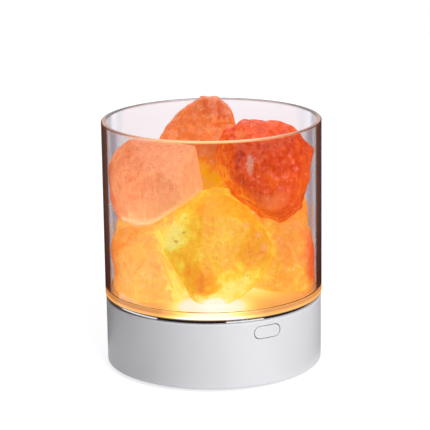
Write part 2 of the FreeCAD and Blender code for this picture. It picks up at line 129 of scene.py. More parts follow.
def let_go():
    """Deselects everything, because an operator acts on all that is selected."""
    bpy.ops.object.select_all(action="DESELECT")


def placed(name, finish):
    """Names the piece just made, and leaves its place in its mesh."""
    piece = bpy.context.object
    piece.name = name
    piece.data.name = name
    bpy.ops.object.transform_apply(location=True, rotation=True, scale=True)
    piece.data.materials.clear()
    piece.data.materials.append(finish)
    return piece


AMBIENT = 0.22
world = bpy.data.worlds.new("studio")
bpy.context.scene.world = world
world.use_nodes = True
sky = world.node_tree
sky.nodes.clear()
soft = add(sky, "ShaderNodeBackground", {"Color": colour("#f4f5f8"), "Strength": AMBIENT})
white = add(sky, "ShaderNodeBackground", {"Color": (1, 1, 1, 1), "Strength": 1.0})
both = add(sky, "ShaderNodeMixShader", {0: seen_ray(sky), 1: soft.outputs[0], 2: white.outputs[0]})
add(sky, "ShaderNodeOutputWorld", {"Surface": both.outputs[0]})

# the table is as white far off, where the boxes don't reach it, as it is round the lamp
TABLE_SIZE = 6
TABLE_GLOW = 0.75
GLOW_RISE, GLOW_FULL = 0.5, 1.6          # metres from the lamp at which it starts to rise, and is 1
table_paint, tree = new_finish("white_table")
paper = add(tree, "ShaderNodeBsdfDiffuse", {"Color": colour("#c0c0c4")})
place = add(tree, "ShaderNodeTexCoord").outputs["Object"]
off = add(tree, "ShaderNodeVectorMath", {0: place}, operation="LENGTH")
glow = add(tree, "ShaderNodeMapRange", {0: off.outputs["Value"], "From Min": GLOW_RISE,
                                        "From Max": GLOW_FULL, "To Min": TABLE_GLOW, "To Max": 1.0})
lit = add(tree, "ShaderNodeEmission", {"Color": (1, 1, 1, 1), "Strength": glow.outputs[0]})
bright = add(tree, "ShaderNodeAddShader", {0: paper.outputs[0], 1: lit.outputs[0]})
coat(tree, add(tree, "ShaderNodeMixShader", {0: seen_ray(tree), 1: paper.outputs[0],
                                             2: bright.outputs[0]}).outputs[0])
let_go()
bpy.ops.mesh.primitive_plane_add(size=TABLE_SIZE)
table = placed("table", table_paint)


LAMP_MIDDLE = Vector((0, 0, 50 * MM))


def soft_box(name, size, place, power):
    """A soft box, its size in metres and its power in watts, that faces the middle of the lamp."""
    light = bpy.data.lights.new(name, "AREA")
    light.shape = "RECTANGLE"
    light.size, light.size_y = size
    light.energy = power
    box = bpy.data.objects.new(name, light)
    bpy.context.scene.collection.objects.link(box)
    aim = LAMP_MIDDLE - place
    box.matrix_world = Matrix.Translation(place) @ aim.to_track_quat("-Z", "Y").to_matrix().to_4x4()
    return box


soft_box("key_box", (0.5, 0.5), front(330, -560, 520), 6.0)
soft_box("top_box", (0.6, 0.6), front(-40, 60, 800), 1.5)
# the box behind lights the rear of the base, and isn't seen in metal or glass
back_box = soft_box("back_box", (0.6, 0.3), front(0, 760, 180), 0.9)
back_box.visible_glossy = back_box.visible_transmission = False


def mirrored(tree, shader, share=None):
    """Lets a card show only where it is mirrored, and by a share where it is seen through glass."""
    path = add(tree, "ShaderNodeLightPath")
    shown = add(tree, "ShaderNodeMath", {0: path.outputs["Glossy Depth"], 1: 0.5},
                operation="GREATER_THAN")
    if share:
        shown = add(tree, "ShaderNodeMath", {0: shown.outputs[0], 1: share}, operation="MAXIMUM")
    clear = add(tree, "ShaderNodeBsdfTransparent")
    return add(tree, "ShaderNodeMixShader", {0: shown.outputs[0], 1: clear.outputs[0],
                                             2: shader}).outputs[0]


card_paint, tree = new_finish("black_card")
dark = add(tree, "ShaderNodeEmission", {"Color": colour("#241c20"), "Strength": 1.0})
coat(tree, mirrored(tree, dark.outputs[0]))

# the cards at the sides are a painted reflection: light where they begin, they darken away from the
# backdrop, and turn brown further round and near the table, where the brown stands for the orange
# light of the salt and floor seen in the cup's edges
CARD_START, CARD_DARK = math.radians(27), math.radians(50)     # from straight behind the lamp
BROWN_LOW, BROWN_HIGH = 5 * MM, 45 * MM                        # brownest, and not at all
faded_paint, tree = new_finish("faded_card")
place, place_front = places(tree)
axes = add(tree, "ShaderNodeSeparateXYZ", {0: place_front})
aside = add(tree, "ShaderNodeMath", {0: axes.outputs[0]}, operation="ABSOLUTE")
round_back = add(tree, "ShaderNodeMath", {0: aside.outputs[0], 1: axes.outputs[1]},
                 operation="ARCTAN2")
fade = add(tree, "ShaderNodeMapRange", {0: round_back.outputs[0], "From Min": CARD_START,
                                        "From Max": CARD_DARK})
greys = add(tree, "ShaderNodeValToRGB", {0: fade.outputs[0]})
greys.color_ramp.elements[0].color = colour("#ffffff")
greys.color_ramp.elements[1].color = colour("#6c4436")
for position, code in ((0.12, "#c4bac2"), (0.28, "#3a2e36"), (0.45, "#31272f"), (0.8, "#643e30")):
    greys.color_ramp.elements.new(position).color = colour(code)
low_down = add(tree, "ShaderNodeMapRange", {0: axes.outputs[2], "From Min": BROWN_LOW,
                                            "From Max": BROWN_HIGH, "To Min": 0.75, "To Max": 0.0})
browned = add(tree, "ShaderNodeMix", {"Factor": low_down.outputs[0], "A": greys.outputs[0],
                                      "B": colour("#4c2418")}, data_type="RGBA")
soft_dark = add(tree, "ShaderNodeEmission", {"Color": browned.outputs["Result"], "Strength": 1.0})
# through the glass only a soft band of it shows
band = add(tree, "ShaderNodeValToRGB", {0: fade.outputs[0]})
band.color_ramp.elements[0].color = (0, 0, 0, 1)
band.color_ramp.elements[1].color = (0, 0, 0, 1)
for position, share in ((0.1, 0.85), (0.22, 0.7), (0.45, 0.0)):
    band.color_ramp.elements.new(position).color = (share, share, share, 1)
coat(tree, mirrored(tree, soft_dark.outputs[0], band.outputs[0]))


def kept_out(piece, *rays):
    """Hides a card from the lens, from soft light, from shadows and from any other kind named."""
    for kind in ("camera", "diffuse", "shadow", "volume_scatter") + rays:
        setattr(piece, "visible_" + kind, False)


def only_faces(piece, keep):
    """Deletes the faces of a piece whose middles don't pass a test."""
    let_go()
    bpy.context.view_layer.objects.active = piece
    bpy.ops.object.mode_set(mode="EDIT")
    bpy.ops.mesh.select_mode(type="FACE")
    bpy.ops.mesh.select_all(action="DESELECT")
    bpy.ops.object.mode_set(mode="OBJECT")
    for face in piece.data.polygons:
        face.select = not keep(face.center)
    bpy.ops.object.mode_set(mode="EDIT")
    bpy.ops.mesh.delete(type="FACE")
    bpy.ops.object.mode_set(mode="OBJECT")


CARD_SIDES = 360                         # one to each degree, so that a card ends at its angle
CARD_LOW = 1                             # mm that a standing card keeps off the table


def part_round(piece, start, end):
    """Keeps the part of a card between two angles in degrees, from the lens to the right."""
    only_faces(piece, lambda c: start <= math.degrees(math.atan2(c.x, -c.y)) % 360 <= end)
    piece.data.transform(turned)
    return piece


def bent_card(name, start, end, reach, high, finish):
    """A card bent round the lamp, between two angles. reach and high: its radius and top, in mm."""
    let_go()
    bpy.ops.mesh.primitive_cylinder_add(vertices=CARD_SIDES, radius=reach * MM,
                                        depth=(high - CARD_LOW) * MM, end_fill_type="NOTHING",
                                        location=(0, 0, (high + CARD_LOW) / 2 * MM))
    return part_round(placed(name, finish), start, end)


def flat_card(name, start, end, inner, outer, finish):
    """A card that lies just over the table, between two angles and two radii in mm."""
    let_go()
    bpy.ops.mesh.primitive_circle_add(vertices=CARD_SIDES, radius=outer * MM, fill_type="NOTHING",
                                      location=(0, 0, 0.6 * MM))
    piece = placed(name, finish)
    bpy.ops.object.mode_set(mode="EDIT")
    bpy.ops.mesh.select_mode(type="VERT")
    bpy.ops.mesh.select_all(action="SELECT")
    bpy.ops.mesh.extrude_region_move()
    bpy.ops.transform.resize(value=(inner / outer, inner / outer, 1), center_override=(0, 0, 0))
    bpy.ops.object.mode_set(mode="OBJECT")
    return part_round(piece, start, end)


# two cards stand close at the sides, two flags far out in front, and the others lie on the table,
# with gaps for the white streaks in the ring. Angles are in degrees and lengths in mm
NEAR_REACH, NEAR_TOP = 110, 180
FAR_REACH, FAR_TOP = 1500, 1600
BY_BASE, OFF_BASE, FRONT_END, BACK_END = 48, 140, 1490, 900
kept_out(bent_card("right_card", 100, 157, NEAR_REACH, NEAR_TOP, faded_paint))
kept_out(bent_card("left_card", 203, 260, NEAR_REACH, NEAR_TOP, faded_paint))
for number, (start, end) in enumerate(((0, 115), (245, 360))):
    kept_out(bent_card("front_flag_" + str(number), start, end, FAR_REACH, FAR_TOP, card_paint))
for number, (start, end, inner, outer) in enumerate((
        (0, 115, OFF_BASE, FRONT_END), (245, 360, OFF_BASE, FRONT_END), (0, 11, BY_BASE, OFF_BASE),
        (46, 115, BY_BASE, OFF_BASE), (306, 360, BY_BASE, OFF_BASE))):
    kept_out(flat_card("table_flag_" + str(number), start, end, inner, outer, card_paint))
kept_out(flat_card("table_flag_back", 115, 253, BY_BASE, BACK_END, card_paint), "transmission")


# Base shell, its cover, button and feet.
# The shell is moulded in satin white ABS, with a fine bevel round its top, a slot for the button
# and a port at the rear. The cover closes it from below, and the feet are silicone rubber pads.
ROUND = 256                              # sides of a round piece
BASE_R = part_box("base_shell")[1].x
BASE_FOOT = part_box("base_shell")[0].z
BASE_WALL = 2.2 * MM
BASE_BORE = BASE_R - BASE_WALL
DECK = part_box("bright_ring")[0].z
DECK_UNDER = DECK - BASE_WALL
STEP_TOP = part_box("base_shell")[1].z     # the deck is raised inside the ring
STEP_R = BASE_R - 5.9 * MM - 0.2 * MM
WINDOW_R = 16 * MM
PAST = 1 * MM                            # how far a cutting tool runs on past what it cuts


def carve(piece, tool, operation="DIFFERENCE"):
    """Cuts a tool out of a piece, or adds it, and throws the tool away."""
    let_go()
    bpy.context.view_layer.objects.active = piece
    piece.select_set(True)
    cut = piece.modifiers.new("cut", "BOOLEAN")
    cut.operation = operation
    cut.solver = "EXACT"
    cut.object = tool
    bpy.ops.object.modifier_apply(modifier="cut")
    bpy.data.objects.remove(tool)


def disc(radius, low, high, vertices=ROUND):
    """A round block on the lamp's axis, between two heights."""
    let_go()
    bpy.ops.mesh.primitive_cylinder_add(vertices=vertices, radius=radius, depth=high - low,
                                        location=(0, 0, (low + high) / 2))
    bpy.ops.object.transform_apply(location=True)
    return bpy.context.object


def rounded_bar(width, height, corner, y0, y1, z):
    """A bar along Y with rounded corners, centred on x = 0 at height z."""
    let_go()
    bpy.ops.mesh.primitive_cube_add(size=1, location=(0, (y0 + y1) / 2, z))
    bar = bpy.context.object
    bar.scale = (width, y1 - y0, height)
    bpy.ops.object.transform_apply(location=True, scale=True)
    bpy.ops.object.mode_set(mode="EDIT")
    bpy.ops.mesh.select_all(action="DESELECT")
    bpy.ops.object.mode_set(mode="OBJECT")
    for edge in bar.data.edges:
        a, b = (bar.data.vertices[v].co for v in edge.vertices)
        edge.select = abs(a.y - b.y) > 0.5 * abs(y1 - y0)
    bpy.ops.object.mode_set(mode="EDIT")
    bpy.ops.mesh.select_mode(type="EDGE")
    bpy.ops.mesh.bevel(offset=min(corner, 0.49 * height), segments=12)
    bpy.ops.object.mode_set(mode="OBJECT")
    return bar


def dull_edges(piece, width, segments, least=50):
    """Breaks the edges of a piece that are sharper than least degrees, and smooths its shading."""
    let_go()
    bpy.context.view_layer.objects.active = piece
    piece.select_set(True)
    edge = piece.modifiers.new("edge", "BEVEL")
    edge.width = width
    edge.segments = segments
    edge.limit_method = "ANGLE"
    edge.angle_limit = math.radians(least)
    bpy.ops.object.modifier_apply(modifier="edge")
    bpy.ops.object.shade_smooth_by_angle(angle=math.radians(30))


def fitted(piece, name, finish, body, slot, *nodes):
    """Shades a modelled piece's flat faces evenly, and gives it its name, finish and nodes."""
    let_go()
    bpy.context.view_layer.objects.active = piece
    even = piece.modifiers.new("even", "WEIGHTED_NORMAL")
    even.keep_sharp = True
    bpy.ops.object.modifier_apply(modifier="even")
    piece.name = piece.data.name = name
    piece.data.materials.clear()
    piece.data.materials.append(finish)
    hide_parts(*nodes)
    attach(piece, body)
    return piece


def satin_moulded(name, code, rough, grain):
    """A moulded skin, even and faintly eggshell, with the fine grain of a spark-eroded mould."""
    finish, tree = new_finish(name)
    place = add(tree, "ShaderNodeTexCoord").outputs["Object"]
    # the mould's spark grain is near 0.1 mm; it is drawn at 0.5 mm so that it shows
    grit = add(tree, "ShaderNodeTexNoise", {"Vector": place, "Scale": 1 / (0.5 * MM),
                                            "Detail": 2.0})
    dent = add(tree, "ShaderNodeBump", {"Height": grit.outputs[0], "Strength": grain,
                                        "Distance": 0.02 * MM})
    flow = add(tree, "ShaderNodeTexNoise", {"Vector": place, "Scale": 1 / (25 * MM), "Detail": 1.0})
    sheen = add(tree, "ShaderNodeMapRange", {0: flow.outputs[0], "To Min": rough - 0.04,
                                             "To Max": rough + 0.04})
    coat(tree, add(tree, "ShaderNodeBsdfPrincipled", {
        "Base Color": colour(code), "Roughness": sheen.outputs[0], "IOR": 1.54,
        "Normal": dent.outputs[0]}).outputs[0])
    return finish


def dressed(node, body, slot, finish, name=None):
    """A copy of a sawn CAD piece with its doubles merged and its round faces shaded smooth."""
    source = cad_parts[node]
    let_go()
    piece = bpy.data.objects.new(name or node + "_skin", source.data.copy())
    bpy.context.scene.collection.objects.link(piece)
    piece.select_set(True)
    bpy.context.view_layer.objects.active = piece
    bpy.ops.object.mode_set(mode="EDIT")
    bpy.ops.mesh.select_all(action="SELECT")
    bpy.ops.mesh.remove_doubles(threshold=2e-6)
    bpy.ops.object.mode_set(mode="OBJECT")
    bpy.ops.object.shade_smooth_by_angle(angle=math.radians(25))
    return fitted(piece, piece.name, finish, body, slot, node)


shell_abs = satin_moulded("satin_white_abs", "#e4e4e6", 0.42, 0.25)
cover_abs = satin_moulded("grained_white_abs", "#dcdcde", 0.55, 0.6)

button_low, button_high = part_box("power_button")
BUTTON_W, BUTTON_H = 10.9 * MM, 4.6 * MM
BUTTON_Z = (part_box("switch_plunger")[0].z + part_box("switch_plunger")[1].z) / 2
BUTTON_GAP = 0.35 * MM
SLOT_W = BUTTON_W + 2 * BUTTON_GAP
SLOT_H = BUTTON_H + 2 * BUTTON_GAP
LIP_H = 6.4 * MM
STEM = 2.4 * MM
PORT_W, PORT_H, PORT_CORNER = 12 * MM, 7.6 * MM, 2 * MM
PORT_Z = (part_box("usb_socket")[0].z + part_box("usb_socket")[1].z) / 2

shell = disc(BASE_R, BASE_FOOT, DECK)
dull_edges(shell, 0.45 * MM, 4)
carve(shell, disc(STEP_R, DECK - PAST, STEP_TOP), "UNION")
carve(shell, disc(BASE_BORE, BASE_FOOT - PAST, DECK_UNDER))
carve(shell, disc(WINDOW_R, DECK_UNDER - PAST, STEP_TOP + PAST, 96))
carve(shell, rounded_bar(SLOT_W, SLOT_H, SLOT_H / 2, -BASE_R - 2 * PAST, -BASE_R + 6 * MM,
                         BUTTON_Z))
carve(shell, rounded_bar(PORT_W, PORT_H, PORT_CORNER, BASE_R - 6 * MM, BASE_R + 2 * PAST, PORT_Z))
dull_edges(shell, 0.12 * MM, 2, 60)
fitted(shell, "base_shell_skin", shell_abs, "base", "white_shell", "base_shell")

dressed("bottom_cover", "base", "white_cover", cover_abs)

# the cap is curved as the base is; its lip and stem stay behind the wall
cap = rounded_bar(BUTTON_W, BUTTON_H, BUTTON_H / 2, -BASE_R - PAST, -BASE_BORE + 4.5 * MM, BUTTON_Z)
carve(cap, disc(BASE_R, BASE_FOOT, DECK), "INTERSECT")
dull_edges(cap, 0.2 * MM, 3, 60)
lip = rounded_bar(button_high.x - button_low.x, LIP_H, LIP_H / 2, -BASE_BORE + 3.4 * MM,
                  -BASE_BORE + 4.6 * MM, BUTTON_Z)
carve(cap, lip, "UNION")
carve(cap, rounded_bar(STEM, STEM, 0.2 * MM, -BASE_BORE + 4 * MM, button_high.y, BUTTON_Z), "UNION")
fitted(cap, "push_button", shell_abs, "button", "white_button", "power_button")

# pale, matt and even
rubber, tree = new_finish("grey_silicone_rubber")
coat(tree, add(tree, "ShaderNodeBsdfPrincipled", {
    "Base Color": colour("#c4c4c6"), "Roughness": 0.7, "IOR": 1.43}).outputs[0])
for side in ("right", "rear", "left", "front"):
    dressed("foot_" + side, "base", "foot_rubber", rubber)


# Works inside the base.
# A round board with its emitters and small parts, the switch, the power socket, the reflector and
# the opal window over the emitters, the screws, and the foam tape that bonds the cup.
def from_axis(tree, place):
    """How far a place is from the lamp's upright axis."""
    flat = add(tree, "ShaderNodeVectorMath", {0: place, 1: (1, 1, 0)}, operation="MULTIPLY")
    reach = add(tree, "ShaderNodeVectorMath", {0: flat.outputs[0]}, operation="LENGTH")
    return reach.outputs["Value"]


def rolled_steel(name, code, rough, size):
    """Plated steel: bright, with fine rolling marks about this long in mm."""
    finish, tree = new_finish(name)
    place = add(tree, "ShaderNodeTexCoord").outputs["Object"]
    drawn = add(tree, "ShaderNodeMapping", {"Vector": place, "Scale": (1, 0.1, 1)})
    lines = add(tree, "ShaderNodeTexNoise", {"Vector": drawn.outputs[0], "Scale": 10 / (size * MM),
                                             "Detail": 2.0})
    worn = add(tree, "ShaderNodeMapRange", {0: lines.outputs[0], "From Min": 0.3, "From Max": 0.7,
                                            "To Min": rough - 0.08, "To Max": rough + 0.08})
    coat(tree, add(tree, "ShaderNodeBsdfPrincipled", {
        "Base Color": colour(code), "Metallic": 1.0, "Roughness": worn.outputs[0]}).outputs[0])
    return finish


# green solder mask over copper tracks 0.6 mm wide, which show through it as lighter lines
solder_mask, tree = new_finish("green_solder_mask")
place = add(tree, "ShaderNodeTexCoord").outputs["Object"]
tracks = add(tree, "ShaderNodeTexBrick", {
    "Vector": place, "Color1": colour("#1c5a34"), "Color2": colour("#1a5230"),
    "Mortar": colour("#3a7c50"), "Scale": 1 / MM, "Mortar Size": 0.3, "Mortar Smooth": 0.1,
    "Brick Width": 7.0, "Row Height": 2.2}, offset=0.35)
coat(tree, add(tree, "ShaderNodeBsdfPrincipled", {
    "Base Color": tracks.outputs["Color"], "Roughness": 0.3, "IOR": 1.5}).outputs[0])

# yellow phosphor under clear resin, lit
phosphor, tree = new_finish("lit_phosphor")
place = add(tree, "ShaderNodeTexCoord").outputs["Object"]
powder = add(tree, "ShaderNodeTexNoise", {"Vector": place, "Scale": 1 / (0.4 * MM), "Detail": 2.0})
tones = add(tree, "ShaderNodeValToRGB", {0: powder.outputs[0]})
tones.color_ramp.elements[0].color = colour("#f0c040")
tones.color_ramp.elements[1].color = colour("#fff0a0")
coat(tree, add(tree, "ShaderNodeBsdfPrincipled", {
    "Base Color": tones.outputs[0], "Roughness": 0.35, "Emission Color": tones.outputs[0],
    "Emission Strength": 1.0}).outputs[0])

# opal acrylic, brightest over the emitters in its middle
opal, tree = new_finish("lit_opal_acrylic")
place = add(tree, "ShaderNodeTexCoord").outputs["Object"]
spread = add(tree, "ShaderNodeMapRange", {0: from_axis(tree, place), "From Max": WINDOW_R})
tones = add(tree, "ShaderNodeValToRGB", {0: spread.outputs[0]})
tones.color_ramp.elements[0].color = colour("#fff2c4")
tones.color_ramp.elements[1].color = colour("#ffc878")
coat(tree, add(tree, "ShaderNodeBsdfPrincipled", {
    "Base Color": colour("#f2efe8"), "Roughness": 0.45, "IOR": 1.49,
    "Emission Color": tones.outputs[0], "Emission Strength": 0.9}).outputs[0])

# nickel is warm and fairly bright, zinc cooler and duller; nylon and epoxy are near black, foam
# tape is milky and rough, PBT white and smooth, ceramic tan, and acetal grey
socket_steel = rolled_steel("nickel_plated_steel", "#c2c3c4", 0.28, 2.0)
screw_steel = rolled_steel("zinc_plated_steel", "#b4b6ba", 0.34, 1.0)
black_nylon = satin_moulded("black_glass_filled_nylon", "#1b1b1d", 0.5, 0.5)
foam_tape = satin_moulded("milky_foam_tape", "#d8d8d4", 0.7, 0.8)
white_pbt = satin_moulded("white_pbt", "#f0f0ee", 0.35, 0.2)
epoxy = satin_moulded("black_epoxy", "#202022", 0.6, 0.6)
ceramic = satin_moulded("fired_ceramic", "#b49a76", 0.4, 0.3)
acetal = satin_moulded("grey_acetal", "#8c8c90", 0.4, 0.3)
for node, body, slot, finish in (
        ("cup_bond_ring", "base", "bond_tape", foam_tape),
        ("diffuser_window", "base", "opal_window", opal),
        ("light_reflector", "base", "reflector_white", white_pbt),
        ("light_emitters", "base", "emitter", phosphor),
        ("main_board", "base", "board", solder_mask),
        ("control_chip", "base", "chip_black", epoxy),
        ("board_parts", "base", "board_part", ceramic),
        ("board_screws", "base", "screw_steel", screw_steel),
        ("cover_screws", "base", "screw_steel", screw_steel),
        ("switch_body", "base", "switch_black", black_nylon),
        ("switch_plunger", "plunger", "plunger_grey", acetal),
        ("usb_socket", "base", "socket_steel", socket_steel),
        ("usb_tongue", "base", "tongue_black", black_nylon)):
    dressed(node, body, slot, finish)


# Ring.
# A hoop of moulded plastic with bright chrome plate. It lies round the deck's step, hides the joint
# between base and cup, and mirrors the studio.
def hoop(radius, wall, low, high, width, segments):
    """A tube with its edges rounded."""
    let_go()
    bpy.ops.mesh.primitive_cylinder_add(vertices=ROUND, radius=radius, depth=high - low,
                                        end_fill_type="NOTHING", location=(0, 0, (low + high) / 2))
    bpy.ops.object.transform_apply(location=True)
    tube = bpy.context.object
    thick = tube.modifiers.new("wall", "SOLIDIFY")
    thick.thickness = wall
    thick.offset = -1
    thick.use_rim = True
    bpy.ops.object.modifier_apply(modifier="wall")
    dull_edges(tube, width, segments)
    return tube


RING_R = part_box("bright_ring")[1].x
RING_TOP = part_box("bright_ring")[1].z
RING_WIDTH = 5 * MM
# chrome over polished plastic mirrors sharply
chrome, tree = new_finish("bright_chrome_plate")
coat(tree, add(tree, "ShaderNodeBsdfPrincipled", {
    "Base Color": colour("#d6d7da"), "Metallic": 1.0, "Roughness": 0.06}).outputs[0])
ring = hoop(RING_R, RING_WIDTH, DECK, RING_TOP, 0.25 * MM, 3)
fitted(ring, "chrome_ring", chrome, "base", "plated_ring", "bright_ring")


# Cup.
# A cast acrylic tube with a flame-polished rim, cemented on a thick acrylic floor that carries the
# light from the window under it out to its edge.
CUP_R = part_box("crystal_cup")[1].x
CUP_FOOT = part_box("crystal_cup")[0].z
CUP_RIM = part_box("crystal_cup")[1].z
CUP_WALL = 2 * MM
CUP_FLOOR = CUP_FOOT + 3 * MM

# clear but for a trace of grey. At the rim a painted glow and a painted brown tint stand for light
# that runs up inside the wall and leaves it there, amber in front and brown at the sides
acrylic, tree = new_finish("cast_clear_acrylic")
place, place_front = places(tree)
axes = add(tree, "ShaderNodeSeparateXYZ", {0: place_front})
at_rim = add(tree, "ShaderNodeMapRange", {0: axes.outputs[2], "From Min": CUP_RIM - 0.9 * MM,
                                          "From Max": CUP_RIM - 0.3 * MM})
in_front = add(tree, "ShaderNodeMapRange", {0: axes.outputs[1], "From Min": 10 * MM,
                                            "From Max": -CUP_R, "To Min": 0.08, "To Max": 1.0})
rim_painted_glow = add(tree, "ShaderNodeMath", {0: at_rim.outputs[0], 1: in_front.outputs[0]},
               operation="MULTIPLY")
rim_tone = add(tree, "ShaderNodeValToRGB", {0: in_front.outputs[0]})
rim_tone.color_ramp.elements[0].color = colour("#6a4030")
rim_tone.color_ramp.elements[1].color = colour("#e8b878")
rim_tone.color_ramp.elements.new(0.7).color = colour("#9a5c40")
rim_painted_share = add(tree, "ShaderNodeMath", {0: at_rim.outputs[0], 1: 0.8}, operation="MULTIPLY")
rim_painted_tint = add(tree, "ShaderNodeMix", {"Factor": rim_painted_share.outputs[0], "A": colour("#ece8eb"),
                                       "B": colour("#80503c")}, data_type="RGBA")
glass = add(tree, "ShaderNodeBsdfPrincipled", {
    "Base Color": rim_painted_tint.outputs["Result"], "Roughness": 0.0, "IOR": 1.49,
    "Transmission Weight": 1.0,
    "Emission Color": rim_tone.outputs[0], "Emission Strength": rim_painted_glow.outputs[0]})
clear = add(tree, "ShaderNodeBsdfTransparent", {"Color": colour("#f6f3f4")})
path = add(tree, "ShaderNodeLightPath")
lamp_ray = add(tree, "ShaderNodeMath", {0: path.outputs["Is Shadow Ray"],
               1: path.outputs["Is Diffuse Ray"]}, operation="MAXIMUM")
coat(tree, add(tree, "ShaderNodeMixShader", {0: lamp_ray.outputs[0], 1: glass.outputs[0],
                                             2: clear.outputs[0]}).outputs[0])

tube = hoop(CUP_R, CUP_WALL, CUP_FLOOR, CUP_RIM, 0.4 * MM, 4)
fitted(tube, "acrylic_tube", acrylic, "base", "clear_acrylic", "crystal_cup")

# the floor's painted glow is near white over the window and amber at its edge, with a painted hot
# spot in front
PAINTED_HOT_SPOT = (-1 * MM, -37 * MM, 30 * MM)
TURNING_PITCH = 1.4 * MM
EDGE_START, EDGE_FULL = 42.5 * MM, 42.8 * MM
glow_floor, tree = new_finish("lit_acrylic_floor")
place, place_front = places(tree)
radius = from_axis(tree, place)
out = add(tree, "ShaderNodeMapRange", {0: radius, "From Min": 14 * MM, "From Max": 44 * MM})
hot = add(tree, "ShaderNodeVectorMath", {0: place_front, 1: PAINTED_HOT_SPOT}, operation="DISTANCE")
hot = add(tree, "ShaderNodeMapRange", {0: hot.outputs["Value"], "From Min": 5 * MM,
                                       "From Max": 24 * MM, "To Min": 1.0, "To Max": 0.0},
          interpolation_type="SMOOTHERSTEP")
dim = add(tree, "ShaderNodeMath", {0: out.outputs[0], 1: hot.outputs[0]}, operation="SUBTRACT")
# faint turning marks round the floor, painted as dimmer rings in its glow
turns = add(tree, "ShaderNodeMath", {0: radius, 1: TURNING_PITCH}, operation="DIVIDE")
turns = add(tree, "ShaderNodeMath", {0: turns.outputs[0]}, operation="FRACT")
marks = add(tree, "ShaderNodeMapRange", {0: turns.outputs[0], "From Min": 0.0, "From Max": 0.35,
                                         "To Min": 0.3, "To Max": 0.0})
dim = add(tree, "ShaderNodeMath", {0: dim.outputs[0], 1: marks.outputs[0]})
# its outer edge glows lighter in its lower half, and a painted shadow darkens the joint below it
axes = add(tree, "ShaderNodeSeparateXYZ", {0: place})
at_edge = add(tree, "ShaderNodeMapRange", {0: radius, "From Min": EDGE_START,
                                           "From Max": EDGE_FULL})
upper_half = add(tree, "ShaderNodeMapRange", {0: axes.outputs[2], "From Min": CUP_FOOT + 1.0 * MM,
                                              "From Max": CUP_FOOT + 1.8 * MM, "To Min": -0.3,
                                              "To Max": 0.08})
edge_dim = add(tree, "ShaderNodeMath", {0: at_edge.outputs[0], 1: upper_half.outputs[0]},
               operation="MULTIPLY")
dim = add(tree, "ShaderNodeMath", {0: dim.outputs[0], 1: edge_dim.outputs[0]})
floor_ramp = add(tree, "ShaderNodeValToRGB", {0: dim.outputs[0]})
stops = floor_ramp.color_ramp.elements
stops[0].position, stops[0].color = 0.0, colour("#fffdf0")
stops[1].position, stops[1].color = 1.0, colour("#c07c38")
for position, code in ((0.2, "#fff090"), (0.4, "#ffdc68"), (0.65, "#f8b050"), (0.85, "#e89c50")):
    stops.new(position).color = colour(code)
# painted shadow at the joint under the floor's edge
joint = add(tree, "ShaderNodeMapRange", {0: axes.outputs[2], "From Min": CUP_FOOT + 0.3 * MM,
                                         "From Max": CUP_FOOT + 0.5 * MM, "To Min": 1, "To Max": 0})
lit_edge = add(tree, "ShaderNodeMix", {"Factor": joint.outputs[0], "A": floor_ramp.outputs[0],
                                       "B": colour("#20120c")}, data_type="RGBA")
coat(tree, add(tree, "ShaderNodeBsdfPrincipled", {
    "Base Color": colour("#9a7250"), "Roughness": 0.2, "IOR": 1.49,
    "Emission Color": lit_edge.outputs["Result"], "Emission Strength": 0.95}).outputs[0])
floor = disc(CUP_R, CUP_FOOT, CUP_FLOOR)
dull_edges(floor, 0.3 * MM, 3)
fitted(floor, "acrylic_floor", glow_floor, "base", "clear_acrylic", "crystal_cup")


# Salt.
# Eleven lumps of rock salt, orange from traces of iron, split from the block and tumbled, so that
# their faces are flat but soft. The lamp below shines up through them, and they glow near it.
HEART = front(0, 0, 34)                  # the middle of the light
WALL_START, WALL_FULL = 30 * MM, 41 * MM     # from the axis: where light in the wall adds to it
STUDIO_SHARE = 0.27                      # how much of a lump's colour the studio's light brings out


def shape_noise(name, kind, size, **settings):
    """A procedural texture for Displace, with features of about this size."""
    noise = bpy.data.textures.new(name, kind)
    noise.noise_scale = size * MM
    for key, value in settings.items():
        setattr(noise, key, value)
    return noise


swells = shape_noise("salt_swell", "CLOUDS", 11.0, noise_depth=1)
flakes = shape_noise("salt_flakes", "VORONOI", 8.0, distance_metric="DISTANCE")
chips = shape_noise("salt_chips", "VORONOI", 3.0, distance_metric="DISTANCE")
grains = shape_noise("salt_grains", "CLOUDS", 1.2, noise_depth=2)


